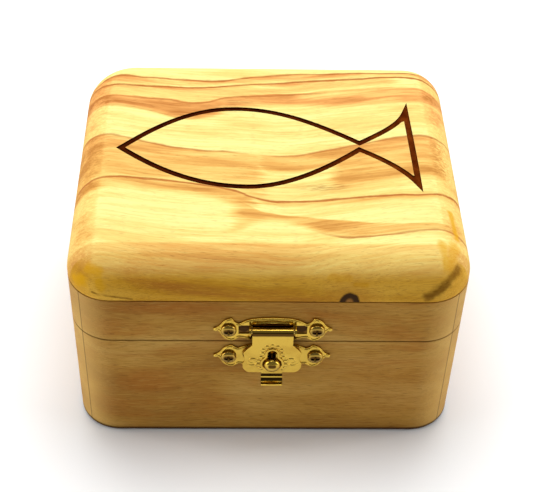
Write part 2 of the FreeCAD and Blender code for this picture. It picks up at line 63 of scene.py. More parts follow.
# Main sizes, read from the frame
TOP_LOW, TOP_HIGH = node_box("lid_top")
FRONT_LOW, FRONT_HIGH = node_box("base_front")
RIGHT_HIGH = node_box("base_right")[1]
FLOOR_LOW, FLOOR_HIGH = node_box("base_floor")
PLATE_LOW, PLATE_HIGH = node_box("clasp_plate_base")
HASP_LOW, HASP_HIGH = node_box("clasp_hasp")
STUD_LOW, STUD_HIGH = node_box("clasp_stud")
HALF_WIDTH = RIGHT_HIGH.x
HALF_DEPTH = -FRONT_LOW.y
WALL = FRONT_HIGH.y - FRONT_LOW.y
SPLIT = FRONT_HIGH.z
GLUE = TOP_LOW.z
TOP = TOP_HIGH.z
CLASP_X = (PLATE_LOW.x + PLATE_HIGH.x) / 2
PLATE_FRONT = PLATE_LOW.y
PLATE_SHEET = -HALF_DEPTH - PLATE_FRONT
HASP_JOINT = next(j for j in frame["record"]["behaviour"]["joints"] if j["name"] == "hasp_hinge")
KNUCKLE = Vector(HASP_JOINT["pos_m"]) / MM
KNUCKLE_RADIUS = HASP_HIGH.z - KNUCKLE.z
HASP_FRONT = KNUCKLE.y - KNUCKLE_RADIUS
STUD_MIDDLE = (STUD_LOW + STUD_HIGH) / 2

# Wooden parts
CORNER = 11.0
WALL_EASE = 0.35
FOOT_EASE = 0.9
INNER_EASE = 0.4
GLUED_EASE = 0.02
FLOOR_GAP = 0.1
# Points of a wall's section nearer to the outside than this follow the rounded corner
ROUNDED_DEPTH = 2.0
CORNER_STEPS = 12
EASE_STEPS = 3
# Corners of the top board from the rear right one, seen from above against the clock
BOARD_CORNERS = [11.2, 13.5, 11.2, 11.2]
BOARD_LEAST_CORNER = 0.3
BOARD_SHOULDER = 9.5
BOARD_FOOT = 0.6
BOARD_RIM = 0.7
SHOULDER_STEPS = 16

# Engraved ornament: cubic spans on the top, each start, two handles and end
ORNAMENT_WIDTH = 1.65
ORNAMENT_DEPTH = 0.45
ORNAMENT_STEPS = 18
ORNAMENT_WELD = 0.001
ORNAMENT_SPANS = [
    [(-38.6, 1.7), (-33.0, 7.2), (-22.5, 18.5), (-8.7, 18.5)],
    [(-8.7, 18.5), (1.7, 18.5), (10.5, 14.5), (24.3, 4.3)],
    [(24.3, 4.3), (32.0, 9.7), (35.9, 12.8), (37.7, 17.9)],
    [(37.7, 17.9), (38.0, 8.0), (38.3, -2.0), (38.4, -12.0)],
    [(38.4, -12.0), (35.0, -5.6), (29.0, -1.6), (24.1, 1.7)],
    [(24.1, 1.7), (16.5, -5.0), (5.5, -13.5), (-5.4, -13.5)],
    [(-5.4, -13.5), (-20.0, -13.5), (-31.0, -5.0), (-38.6, 1.7)],
]

# Fittings
METAL_EASE = 0.1
TURNED_STEPS = 48
SMALL_STEPS = 16
SMALL_DOME_STEPS = 4
SHARP_ANGLE = math.radians(38)
FLAT_ANGLE = math.radians(0.6)
# A face belongs to a plate's front if it faces so far forward and lies so near to it
FACING = 0.99
FRONT_REACH = 0.05
CAD_WELD = 0.002
BEAD_WELD = 0.0005
WINDOW_X = 7.2
WINDOW_RADII = (1.7, 1.0, 1.9)
RIM_INSET = 0.42
RIM_WIDTH = 0.42
RIM_HEIGHT = 0.2
BEAD_STEPS = 10
BEAD_TIP = 0.3
BROW_STEPS = 10
BROW_HALF = 4.4
BROW_RISE = 0.75
BROW_GAP = 0.5
BROW_WIDTH = 0.8
BROW_HEIGHT = 0.5
PETAL_RING = 3.5
PETAL_RADIUS = 0.62
PETAL_HEIGHT = 0.24
PETAL_ROOT = 0.2
PETAL_ANGLES = (35, 11, -13, -37)
PETALS_BY_SLOT = [(2.45, 3.4), (2.3, 4.8), (1.35, 5.95), (0.0, 6.4)]
SCROLL_PLACE = (5.0, 0.6)
SCROLL_RADII = (1.7, 0.5)
SCROLL_TURNS = 1.3
SCROLL_STEPS = 40
SCROLL_WIDTH = 0.5
SCROLL_HEIGHT = 0.2
NUB_RADIUS = 0.6
NUB_HEIGHT = 0.15
SCREW_SHANK = 1.0
SCREW_TIP = 1.2
STUD_NECK = 1.1
STUD_COLLAR = (1.7, 0.5)
STUD_HEAD = 1.5
STUD_RIM = 0.4
HEAD_RIM = 0.35
HEAD_EASE = 0.08
SCREW_POINT = 0.05
DOME_TIP = 0.02
SLOT_ARM = 1.3
SLOT_HALF = 0.33
SLOT_DEPTH = 0.9
SLOT_OVER = 0.3
HINGE_SCREW_SPREAD = 6.0
HINGE_SCREW_DROP = 5.8
HINGE_SCREW_HEAD = (1.5, 0.95)
HINGE_SCREW_SHANK = 0.85
HINGE_SCREW_LENGTH = 6.5
HINGE_SHEET = 0.8
PIN_DOME = 0.25


# Mesh helpers

def quarter_turn(steps):
    """Angles from 0 to a right angle."""
    return [math.pi / 2 * k / steps for k in range(steps + 1)]


def full_turn(steps):
    """Angles once round, without the last one."""
    return [2 * math.pi * k / steps for k in range(steps)]


def loft(bm, rings, capped=True):
    """Quads between closed rings of as many points each; a cap is one face at each end."""
    rows = [[bm.verts.new(point) for point in ring] for ring in rings]
    count = len(rows[0])
    for low, high in zip(rows, rows[1:]):
        for i in range(count):
            j = (i + 1) % count
            bm.faces.new((low[i], low[j], high[j], high[i]))
    if capped:
        bm.faces.new(rows[0][::-1])
        bm.faces.new(rows[-1])


def circle(radius, height, steps):
    return [Vector((radius * math.cos(t), radius * math.sin(t), height)) for t in full_turn(steps)]


def revolve(bm, profile, place, steps=TURNED_STEPS):
    """Turns (height, radius) points about Z, then puts them at the place; both ends close."""
    loft(bm, [[place @ point for point in circle(radius, height, steps)] for height, radius in profile])


def facing(normal, origin):
    """A place whose Z axis is the normal."""
    turn = Vector(normal).to_track_quat("Z", "Y").to_matrix().to_4x4()
    return Matrix.Translation(origin) @ turn


def turned(profile, axis, origins):
    """The same turned shape at each origin, with its profile's heights along the axis."""
    bm = bmesh.new()
    for origin in origins:
        revolve(bm, profile, facing(axis, origin))
    return bm


def dome(base, height, radius, steps=8):
    """Profile of a dome over a base height, ending close to its axis."""
    turns = quarter_turn(steps)
    return [(base + height * math.sin(t), max(radius * math.cos(t), DOME_TIP)) for t in turns]


def mesh_of(bm, name):
    mesh = bpy.data.meshes.new(name)
    bm.to_mesh(mesh)
    bm.free()
    return mesh


def cad_copy(node):
    """A copy of a node's solid in millimetres, with its flat faces whole again."""
    bm = bmesh.new()
    bm.from_mesh(frame["nodes"][node].data)
    bmesh.ops.scale(bm, vec=Vector((1, 1, 1)) / MM, verts=bm.verts)
    bmesh.ops.remove_doubles(bm, verts=bm.verts, dist=CAD_WELD)
    bmesh.ops.dissolve_limit(bm, angle_limit=FLAT_ANGLE, verts=bm.verts, edges=bm.edges)
    return bm


def ease(bm):
    """Rounds off the sharp edges of sheet metal."""
    sharp = [e for e in bm.edges if len(e.link_faces) == 2 and e.calc_face_angle() > SHARP_ANGLE]
    bmesh.ops.bevel(
        bm, geom=sharp, offset=METAL_EASE, segments=2, profile=0.5, affect="EDGES", clamp_overlap=True)


def cut(bm, tool, name):
    """The first mesh with the second one taken out of it."""
    body = bpy.data.objects.new(name + "_body", mesh_of(bm, name + "_body"))
    other = bpy.data.objects.new(name + "_tool", mesh_of(tool, name + "_tool"))
    for item in (body, other):
        bpy.context.scene.collection.objects.link(item)
    other.data.materials.append(None)
    body.data.materials.append(None)
    change = body.modifiers.new("cut", "BOOLEAN")
    change.operation = "DIFFERENCE"
    change.object = other
    change.solver = "EXACT"
    graph = bpy.context.evaluated_depsgraph_get()
    result = bmesh.new()
    result.from_object(body, graph)
    for item in (body, other):
        mesh = item.data
        bpy.data.objects.remove(item)
        bpy.data.meshes.remove(mesh)
    return result


def body_of(node):
    bodies = frame["record"]["behaviour"]["bodies"]
    return next(body for body, nodes in bodies.items() if node in nodes)


def piece(bm, name, materials, node=None, body=None):
    """Finishes a mesh as a visible piece, which stands for a node or rides on a body by itself."""
    bmesh.ops.recalc_face_normals(bm, faces=bm.faces)
    for edge in bm.edges:
        if len(edge.link_faces) == 2:
            edge.smooth = edge.calc_face_angle() < SHARP_ANGLE
    for face in bm.faces:
        face.smooth = True
    bmesh.ops.scale(bm, vec=Vector((MM, MM, MM)), verts=bm.verts)
    item = bpy.data.objects.new(name, mesh_of(bm, name))
    for material in materials:
        item.data.materials.append(material)
    bpy.context.scene.collection.objects.link(item)
    even = item.modifiers.new("even shading", "WEIGHTED_NORMAL")
    even.keep_sharp = True
    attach(item, body or body_of(node))
    if node:
        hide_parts(node)


# Materials

class Field:
    """A number that varies over a surface: the output of a node."""

    def __init__(self, graph, socket):
        self.graph = graph
        self.socket = socket

    def __add__(self, other):
        return self.graph.math("ADD", self, other)

    def __radd__(self, other):
        return self.graph.math("ADD", other, self)

    def __sub__(self, other):
        return self.graph.math("SUBTRACT", self, other)

    def __rsub__(self, other):
        return self.graph.math("SUBTRACT", other, self)

    def __mul__(self, other):
        return self.graph.math("MULTIPLY", self, other)

    def __truediv__(self, other):
        return self.graph.math("DIVIDE", self, other)

    def __abs__(self):
        return self.graph.math("ABSOLUTE", self)

    def rise(self, low, high):
        """0 below low, 1 above high and a smooth step between; falls where low is the larger."""
        settings = {"interpolation_type": "SMOOTHSTEP", "clamp": True}
        if low < high:
            ends = {"From Min": low, "From Max": high, "To Min": 0.0, "To Max": 1.0}
        else:
            ends = {"From Min": high, "From Max": low, "To Min": 1.0, "To Max": 0.0}
        return self.graph.add("ShaderNodeMapRange", {"Value": self, **ends}, **settings).out("Result")


class Added:
    """A node just added, with its outputs as fields."""

    def __init__(self, graph, node):
        self.graph = graph
        self.node = node

    def out(self, name=0):
        return Field(self.graph, self.node.outputs[name])


class Graph:
    """The node tree of one material."""

    def __init__(self, name):
        self.material = bpy.data.materials.new(name)
        self.material.use_nodes = True
        self.tree = self.material.node_tree
        self.tree.nodes.clear()

    def add(self, kind, inputs, **settings):
        node = self.tree.nodes.new(kind)
        for key, value in settings.items():
            setattr(node, key, value)
        for key, value in inputs.items():
            if isinstance(value, Field):
                self.tree.links.new(value.socket, node.inputs[key])
            else:
                node.inputs[key].default_value = value
        return Added(self, node)

    def math(self, operation, *values):
        return self.add("ShaderNodeMath", dict(enumerate(values)), operation=operation).out()

    def larger(self, first, second):
        return self.math("MAXIMUM", first, second)

    def place(self):
        """X, Y and Z of the point in the part's own frame, in millimetres."""
        point = self.add("ShaderNodeTexCoord", {}).out("Object")
        parts = self.add("ShaderNodeSeparateXYZ", {0: point})
        return [parts.out(i) / MM for i in range(3)]

    def noise(self, x, y, z, detail=2.0, roughness=0.5):
        point = self.add("ShaderNodeCombineXYZ", {0: x, 1: y, 2: z}).out()
        inputs = {"Vector": point, "Scale": 1.0, "Detail": detail, "Roughness": roughness}
        return self.add("ShaderNodeTexNoise", inputs).out(0)

    def curve(self, x, points, x_ends, y_ends):
        """Y of a smooth line through the points."""
        x_low, y_low = x_ends[0], y_ends[0]
        x_range, y_range = x_ends[1] - x_low, y_ends[1] - y_low
        node = self.add("ShaderNodeFloatCurve", {"Value": (x - x_low) / x_range})
        line = node.node.mapping.curves[0]
        shares = [((px - x_low) / x_range, (py - y_low) / y_range) for px, py in points]
        line.points[0].location = shares[0]
        line.points[1].location = shares[-1]
        for share in shares[1:-1]:
            line.points.new(*share)
        node.node.mapping.update()
        return node.out() * y_range + y_low

    def mix(self, factor, first, second):
        """A mix of two colours; the numbers are the node's sockets for colours."""
        inputs = {0: factor}
        for key, colour in ((6, first), (7, second)):
            inputs[key] = colour if isinstance(colour, Field) else (*colour, 1.0)
        return self.add("ShaderNodeMix", inputs, data_type="RGBA").out(2)

    def ramp(self, factor, stops):
        node = self.add("ShaderNodeValToRGB", {0: factor})
        ends = node.node.color_ramp.elements
        while len(ends) < len(stops):
            ends.new(0.5)
        for element, (place, colour) in zip(ends, stops):
            element.position = place
            element.color = (*colour, 1.0)
        return node.out("Color")

    def bump(self, height, distance):
        return self.add("ShaderNodeBump", {"Height": height, "Distance": distance * MM}).out()

    def finish(self, inputs):
        shader = self.add("ShaderNodeBsdfPrincipled", inputs).out()
        self.add("ShaderNodeOutputMaterial", {"Surface": shader})
        return self.material


# Wood colours, linear
CREAM = (0.82, 0.755, 0.28)
STRAW = (0.80, 0.59, 0.175)
TAN = (0.69, 0.365, 0.088)
CARAMEL = (0.50, 0.215, 0.042)
ORANGE = (0.75, 0.335, 0.098)
RUST = (0.44, 0.15, 0.032)
UMBER = (0.27, 0.078, 0.012)
SMOKE = (0.30, 0.105, 0.026)
AMBER = (0.70, 0.39, 0.043)
HONEY = (0.54, 0.265, 0.014)
CORNER_LIGHT = (0.66, 0.43, 0.135)
GOLD_BROWN = (0.45, 0.232, 0.038)
PALE_BROWN = (0.53, 0.305, 0.068)
DARK_BROWN = (0.29, 0.120, 0.016)
RUSSET = (0.38, 0.130, 0.014)
# Dark brown of the joint lines and pores, also used for painted shade along the foot and behind the
# clasp's windows
SEAM_AND_SHADE = (0.04, 0.012, 0.002)
KNOT = (0.022, 0.009, 0.005)
RESIN = (0.66, 0.33, 0.003)
OLIVE = (0.16, 0.062, 0.001)
CHAR = (0.032, 0.0042, 0.001)
SCORCHED = (0.080, 0.0125, 0.0015)
SINGED = (0.22, 0.046, 0.005)


def fibres(graph, along, across, depth):
    """Long streaks, short streaks and pores of the grain, each about 0 to 1."""
    long = graph.noise(along * 0.045, across * 1.5, depth * 1.5, detail=4.0, roughness=0.6)
    short = graph.noise(along * 0.24, across * 3.8, depth * 3.8, detail=2.0, roughness=0.6)
    pores = graph.noise(along * 0.40, across * 6.5, depth * 6.5, detail=1.0).rise(0.62, 0.74)
    return long, short, pores


# Growth lines of the top board: points (x, y) from left to right
FIGURE_LINES = {
    "back": [(-50, 30.5), (-47.4, 31.3), (-42.3, 33.5), (-32.5, 32.4), (-18.5, 31.1), (-12.4, 31.2),
             (-4.5, 32.7), (9.5, 34.4), (34, 35.7), (50, 36)],
    "second": [(-50, 29.8), (-41.5, 29.3), (-32.3, 28.5), (-19, 27.8), (-10, 28.9), (9.4, 30.8),
               (20.7, 32.2), (41, 33.5), (50, 31)],
    "third": [(-50, 25.5), (-44.4, 24.4), (-27.9, 22.7), (-17.7, 21), (-10.6, 23.4), (-1.3, 24.5),
              (14.8, 26.1), (30, 29), (50, 30)],
    "fourth": [(-50, 21.5), (-44.1, 20.4), (-37.3, 19.4), (-31.7, 17.7), (-22.2, 14.3), (-10, 16.7),
               (-1.9, 19.1), (20, 19.8), (36.6, 21.5), (50, 22.5)],
    "middle": [(-50, 8.6), (-41, 7), (-37.7, 6), (-28.4, 2.8), (-21.2, 1.3), (-6.3, -0.2), (6, -1.6),
               (16.3, 1.4), (24.9, 4), (35.3, 7.1), (42.9, 7.8), (50, 7.4)],
    "front": [(-50, -11.8), (-41.8, -9.8), (-30.3, -10.9), (-20.1, -12.3), (-9.4, -15), (-0.3, -18.7),
              (7.7, -19), (17.9, -17.8), (33.2, -16.3), (42, -15.6), (50, -14.3)],
    "slant": [(-50, -15), (-22.5, -14.6), (-13.6, -16.8), (-7.3, -20.5), (-1.9, -24.1), (5, -26),
              (50, -28)],
    "edge": [(-50, -36), (-10, -31), (0, -26.8), (7.4, -28.8), (14.6, -31.2), (19.5, -31.9),
             (26.9, -31.1), (36.9, -29.4), (43, -28.9), (50, -29.9)],
}
FIGURE_X = (-52.0, 52.0)
FIGURE_Y = (-45.0, 45.0)
# Dark strokes along a line: line, strength, from x to x
FIGURE_STROKES = [
    ("back", 0.95, -52, 52),
    ("second", 1.05, -52, 52),
    ("third", 0.90, -34, 12),
    ("fourth", 0.35, -46, -20),
    ("middle", 0.80, -52, -12),
    ("middle", 0.80, 4, 52),
    ("front", 1.15, -52, 52),
    ("edge", 0.80, 18, 52),
]
# Tinted bands: upper line and offset, lower line and offset, strength, from x to x
FIGURE_BANDS = [
    ("back", 0.0, "second", 0.8, 0.50, -52, 52),
    ("second", 0.0, "third", 0.0, 0.30, -52, 30),
    ("second", 0.0, "second", -2.2, 0.48, -52, 4),
    ("third", 0.6, "fourth", 0.0, 0.80, -52, -18),
    ("third", 0.0, "fourth", 1.0, 0.55, -24, 8),
    ("second", -4.5, "fourth", 0.8, 0.55, 2, 52),
    ("middle", 0.0, "front", 0.0, 0.50, -52, -8),
    ("middle", 0.0, "middle", -6.5, 0.62, 4, 21),
    ("middle", 0.0, "middle", -16.0, 0.52, 23, 39),
    ("front", 0.0, "front", -4.2, 0.72, -52, -10),
    ("front", 0.0, "front", -1.6, 0.50, 2, 52),
    ("slant", 1.0, "slant", -1.4, 0.45, -15, 6),
    ("slant", 1.6, "edge", 0.6, 0.68, -2, 38),
]
BAND_FADE = 13.0
STROKE_FADE = 8.0
# Dark smudges: middle and radii
FIGURE_SMUDGES = [
    ((-11.8, 18.8), (5.6, 1.5)),
    ((-7.4, 21.6), (3.0, 0.9)),
    ((12.6, -13.6), (5.4, 1.3)),
]


def spot(graph, place, centre, radii, wobble, soft=0.25):
    """1 inside a wobbly ellipsoid and 0 outside."""
    total = 0.0
    for value, middle, radius in zip(place, centre, radii):
        share = (value - middle) / radius
        total = share * share + total
    return (graph.math("SQRT", total) + wobble).rise(1.0 + soft, 1.0 - soft)


def streak(graph, place, start, end, radius, wobble, soft=0.35):
    """1 near the straight line between two points and 0 away from it."""
    axis = Vector(end) - Vector(start)
    offsets = [value - begin for value, begin in zip(place, start)]
    along = sum(offset * reach for offset, reach in zip(offsets, axis)) / axis.length_squared
    share = graph.add("ShaderNodeClamp", {"Value": along}).out()
    gaps = [offset - share * reach for offset, reach in zip(offsets, axis)]
    distance = graph.math("SQRT", sum(gap * gap for gap in gaps))
    return (distance / radius + wobble).rise(1.0 + soft, 1.0 - soft)


def span(x, start, end, soft):
    """1 between two values of x, with soft ends outside them."""
    return x.rise(start - soft, start) * x.rise(end + soft, end)


def top_figure(graph, x, level, long, short, patches):
    """Strength of the dark strokes and of the tint between them."""
    heights = {}
    for name, points in FIGURE_LINES.items():
        heights[name] = graph.curve(x, points, FIGURE_X, FIGURE_Y)
    bands = []
    for upper, above, lower, below, strength, start, end in FIGURE_BANDS:
        under = heights[upper] + above - level
        over = level - heights[lower] - below
        inside = under.rise(-0.25, 0.35) * over.rise(-1.2, 2.0)
        cover = (span(x, start, end, BAND_FADE) + (long - 0.5) * 0.9).rise(0.20, 0.80)
        bands.append(inside * cover * (patches.rise(0.32, 0.68) * 0.7 + 0.45) * strength)
    strokes = []
    for name, strength, start, end in FIGURE_STROKES:
        near = abs(level - heights[name] + (short - 0.5) * 0.35).rise(0.62, 0.10)
        strokes.append(near * span(x, start, end, STROKE_FADE) * (short * 0.9 + patches * 1.0) * strength)
    return functools.reduce(graph.larger, bands), functools.reduce(graph.larger, strokes)


# Marks on the edges of the top board: from a point to a point, radius, strength
RESIN_MARKS = [
    ((-47.2, -39.4, 53.6), (-45.4, -40.7, 54.6), 1.5, 0.85),
    ((-43.5, -40.0, 57.7), (-41.6, -40.8, 57.6), 1.4, 0.70),
    ((-41.3, -42.5, 55.6), (-40.8, -43.0, 54.2), 1.1, 0.60),
    ((41.8, -33.8, 61.0), (42.7, -39.3, 58.7), 1.1, 0.60),
    ((45.0, -34.0, 59.7), (43.2, -39.0, 58.5), 1.6, 0.55),
    ((45.6, -21.5, 59.7), (46.2, -30.5, 59.2), 0.8, 0.75),
    ((14.6, -41.8, 57.0), (19.0, -41.9, 56.8), 0.8, 0.40),
    ((20.6, -42.7, 55.5), (23.4, -42.7, 55.3), 0.6, 0.50),
]
OLIVE_MARKS = [
    ((45.7, -38.8, 57.2), (43.1, -41.8, 55.4), 1.0, 0.70),
    ((43.1, -41.8, 55.4), (38.4, -43.5, 52.2), 1.2, 0.85),
    ((-42.9, -42.6, 52.4), (-37.4, -43.5, 51.6), 0.3, 0.75),
    ((-37.4, -43.5, 51.6), (-33.4, -43.5, 50.9), 0.3, 0.60),
]
KNOT_PLACE = (19.4, GLUE)
KNOT_RADII = (2.5, 3.3)
KNOT_HALO = (6.5, 7.0)
KNOT_HEART = (0.9, 1.5)
KNOT_FACE = (-40.0, -41.0)


def top_stains(graph, colour, place, short):
    """Resin stains, olive streaks and the knot at the foot of the front."""
    x, y, z = place
    wobble = (graph.noise(x * 0.6, y * 0.6, z * 0.6, detail=3.0) - 0.5) * 1.6
    for marks, tone in ((RESIN_MARKS, RESIN), (OLIVE_MARKS, OLIVE)):
        stains = [streak(graph, place, start, end, radius, wobble, 0.7) * strength
                  for start, end, radius, strength in marks]
        stain = functools.reduce(graph.larger, stains) * (short * 0.6 + 0.7)
        colour = graph.mix(stain, colour, tone)
    front = y.rise(*KNOT_FACE)
    halo = spot(graph, (x, z), KNOT_PLACE, KNOT_HALO, wobble * 0.7, 0.6) * front
    colour = graph.mix(halo * 0.35, colour, RUSSET)
    knot = spot(graph, (x, z), KNOT_PLACE, KNOT_RADII, wobble * 0.12, 0.12) * front
    colour = graph.mix(knot * 0.95, colour, KNOT)
    heart = spot(graph, (x, z), KNOT_PLACE, KNOT_HEART, wobble * 0.2, 0.4) * front
    return graph.mix(heart * 0.6, colour, CARAMEL)


# Where the rounded ends and the rounded front of the top board begin
BOARD_END_EDGE = (42.6, 43.6)
BOARD_END = (42.0, 47.0)
FRONT_ROLL = (-33.8, -34.8)
FRONT_FACE = (-36.9, -37.5)


def add_smudges(graph, colour, x, level, wander, short):
    for centre, radii in FIGURE_SMUDGES:
        smoke = spot(graph, (x, level), centre, radii, wander * 2.4, 0.7)
        colour = graph.mix(smoke * short.rise(0.36, 0.70) * 0.70, colour, SMOKE)
    return colour


def shaded_face_tone(graph, broad, short):
    """Darker colour painted on the upright faces round the top board as shade, varied with the grain."""
    tone = graph.ramp(broad, [(0.32, AMBER), (0.54, HONEY), (0.76, RUSSET)])
    tone = graph.mix(short.rise(0.48, 0.74) * 0.45, tone, DARK_BROWN)
    return graph.mix(short.rise(0.46, 0.28) * 0.40, tone, AMBER)


def top_wood():
    graph = Graph("olive_wood_top")
    place = graph.place()
    x, y, z = place
    drop = TOP - z
    wander = graph.noise(x * 0.07, y * 0.22, z * 0.22, detail=4.0, roughness=0.6) - 0.5
    level = y + wander * 1.8
    flow = graph.curve(x, FIGURE_LINES["middle"], FIGURE_X, FIGURE_Y) * 0.6
    across = y - flow
    long, short, pores = fibres(graph, x, across, z)
    broad = graph.noise(x * 0.018, across * 0.16, z * 0.16, detail=3.0, roughness=0.55)
    patches = graph.noise(x * 0.05 + 11.0, across * 0.30, z * 0.30, detail=3.0)
    tint, strokes = top_figure(graph, x, level, long, short, patches)

    # Darker towards the rounded ends: end grain, and painted shade where the shoulders fall away, with a
    # painted step where the flat top ends
    ends = abs(x).rise(*BOARD_END_EDGE) * 0.08 + abs(x).rise(*BOARD_END) * 0.14
    # Painted shade: a tan tint where the front begins to roll over
    front_roll_shade = y.rise(*FRONT_ROLL)
    tint = graph.larger(tint, front_roll_shade * 0.25) + ends + broad.rise(0.42, 0.75) * 0.30
    tint = tint * (0.72 + long * 0.55) + (short - 0.5) * 0.30 + (long - 0.5) * 0.55 + 0.05
    mild = graph.ramp(tint, [(0.0, CREAM), (0.22, STRAW), (0.58, TAN), (1.0, CARAMEL)])
    warm = graph.ramp(tint, [(0.0, CREAM), (0.20, STRAW), (0.50, ORANGE), (1.0, RUST)])
    colour = graph.mix(level.rise(-10.0, 22.0) * 0.75, mild, warm)
    colour = graph.mix(strokes, colour, RUST)
    colour = add_smudges(graph, colour, x, level, wander, short)

    # Painted shade: the front face and the lower part of every side take the darker face colour, as they
    # turn away from the overhead light
    front_face_shade = y.rise(*FRONT_FACE) * (0.22 + drop.rise(1.5, 5.2) * 0.74)
    face = graph.larger(front_face_shade, drop.rise(3.5, 10.0) * 0.60)
    colour = graph.mix(face, colour, shaded_face_tone(graph, broad, short))
    colour = graph.mix(pores * 0.30, colour, UMBER)
    colour = top_stains(graph, colour, place, short)

    height = short * 0.5 + long * 0.3 - pores * 0.6 - strokes * 0.3
    return graph.finish({
        "Base Color": colour,
        "Roughness": 0.58 + short * 0.16 + pores * 0.15,
        "Specular IOR Level": 0.05,
        "Normal": graph.bump(height, 0.05),
    })


# Reddish patches on the walls: middle, radii, strength
RUSSET_PATCHES = [
    ((-31.0, -HALF_DEPTH, 20.5), (6.5, 4.0, 4.5), 0.60),
    ((-22.0, -HALF_DEPTH, 47.5), (12.0, 4.0, 2.5), 0.45),
    ((-40.0, -HALF_DEPTH, 10.0), (5.0, 4.0, 3.5), 0.35),
    ((-13.0, -HALF_DEPTH, 9.0), (7.0, 4.0, 3.0), 0.35),
    ((31.0, -HALF_DEPTH, 19.0), (13.0, 4.0, 11.0), 0.25),
]
# Where the rounded corners are painted paler as light, the dark lines at joints and the painted shade
# along the foot: from faint to full
CORNER_LIGHT_X = (37.0, 48.0)
CORNER_LIGHT_Y = (31.0, 41.0)
MITRE_LINE = (0.34, 0.10)
PARTING_LINE = (0.40, 0.12)
FOOT_SHADE = (1.9, 0.9)
SKIN = (0.9, 0.4)


def outer_skin(graph, x, y):
    """1 at the outside of the walls and 0 deeper in."""
    beyond_x = graph.larger(abs(x) - (HALF_WIDTH - CORNER), 0.0)
    beyond_y = graph.larger(abs(y) - (HALF_DEPTH - CORNER), 0.0)
    reach = graph.math("SQRT", beyond_x * beyond_x + beyond_y * beyond_y)
    return (CORNER - reach).rise(*SKIN)


def joint_lines_and_shade(graph, colour, x, y, z):
    """Dark lines along the mitres and the split, painted shade along the foot, and painted shade in the
    windows of the plate.
    """
    mitre = abs((HALF_WIDTH - abs(x)) - (HALF_DEPTH - abs(y)))
    colour = graph.mix(mitre.rise(*MITRE_LINE) * 0.60, colour, SEAM_AND_SHADE)
    parting = abs(z - SPLIT).rise(*PARTING_LINE)
    # Painted shade: a dark band along the foot, where the box meets the floor
    foot = z.rise(*FOOT_SHADE)
    lines_and_foot_shade = graph.larger(parting * 0.50, foot * 0.92) * outer_skin(graph, x, y)
    colour = graph.mix(lines_and_foot_shade, colour, SEAM_AND_SHADE)
    # Painted shade on the wood behind each window of the plate
    for side in (-1, 1):
        window = (CLASP_X + side * WINDOW_X, -HALF_DEPTH, KNUCKLE.z)
        shade = spot(graph, (x, y, z), window, WINDOW_RADII, 0.0)
        colour = graph.mix(shade * 0.9, colour, SEAM_AND_SHADE)
    return colour


def wall_wood(name, along_x, shift):
    graph = Graph(name)
    x, y, z = graph.place()
    along, out = (x, y) if along_x else (y, x)
    along = along + shift
    wave = (graph.noise(along * 0.022, out * 0.02, z * 0.05, detail=3.0) - 0.5) * 8.0
    across = z + wave
    long, short, pores = fibres(graph, along, across, out)
    broad = graph.noise(along * 0.022, out * 0.1, across * 0.075, detail=3.0, roughness=0.5)
    rings = graph.noise(along * 0.014, out * 0.30, across * 0.40, detail=4.0, roughness=0.6)
    clouds = graph.noise(along * 0.06, out * 0.1, z * 0.10, detail=2.0)
    colour = graph.ramp(broad, [(0.34, PALE_BROWN), (0.48, GOLD_BROWN), (0.72, DARK_BROWN)])
    colour = graph.mix(rings.rise(0.50, 0.72) * 0.40, colour, RUSSET)
    colour = graph.mix(rings.rise(0.46, 0.30) * 0.40, colour, PALE_BROWN)
    colour = graph.mix(clouds.rise(0.54, 0.72) * 0.45, colour, RUSSET)
    for centre, radii, strength in RUSSET_PATCHES:
        patch = spot(graph, (x, y, z), centre, radii, (clouds - 0.5) * 1.4, 0.6)
        colour = graph.mix(patch * strength, colour, RUSSET)
    colour = graph.mix(long.rise(0.50, 0.70) * 0.35, colour, DARK_BROWN)
    colour = graph.mix(short.rise(0.50, 0.66) * 0.42, colour, DARK_BROWN)
    colour = graph.mix(short.rise(0.47, 0.32) * 0.38, colour, PALE_BROWN)
    colour = graph.mix(pores * 0.40, colour, SEAM_AND_SHADE)
    # Painted light: the rounded outer corners are coloured paler, where the light from the sides falls on
    # them
    corner = abs(x).rise(*CORNER_LIGHT_X) * abs(y).rise(*CORNER_LIGHT_Y)
    colour = graph.mix(corner * (0.25 + short * 0.5), colour, CORNER_LIGHT)
    colour = joint_lines_and_shade(graph, colour, x, y, z)
    height = short * 0.5 + long * 0.3 - pores * 0.6
    return graph.finish({
        "Base Color": colour,
        "Roughness": 0.54 + short * 0.18 + pores * 0.15,
        "Specular IOR Level": 0.08,
        "Normal": graph.bump(height, 0.06),
    })


def floor_wood():
    graph = Graph("olive_wood_floor")
    x, y, z = graph.place()
    wave = (graph.noise(x * 0.02, y * 0.05, z * 0.02) - 0.5) * 12.0
    across = y + wave
    long, short, pores = fibres(graph, x, across, z)
    rings = graph.noise(x * 0.010, across * 0.16, z * 0.1, detail=4.0, roughness=0.6)
    colour = graph.ramp(rings, [(0.30, STRAW), (0.48, PALE_BROWN), (0.66, TAN), (0.80, DARK_BROWN)])
    colour = graph.mix(long.rise(0.45, 0.78) * 0.35, colour, DARK_BROWN)
    colour = graph.mix(short.rise(0.48, 0.74) * 0.35, colour, DARK_BROWN)
    colour = graph.mix(pores * 0.3, colour, SEAM_AND_SHADE)
    return graph.finish({
        "Base Color": colour,
        "Roughness": 0.58 + short * 0.2,
        "Specular IOR Level": 0.2,
        "Normal": graph.bump(short - pores, 0.07),
    })


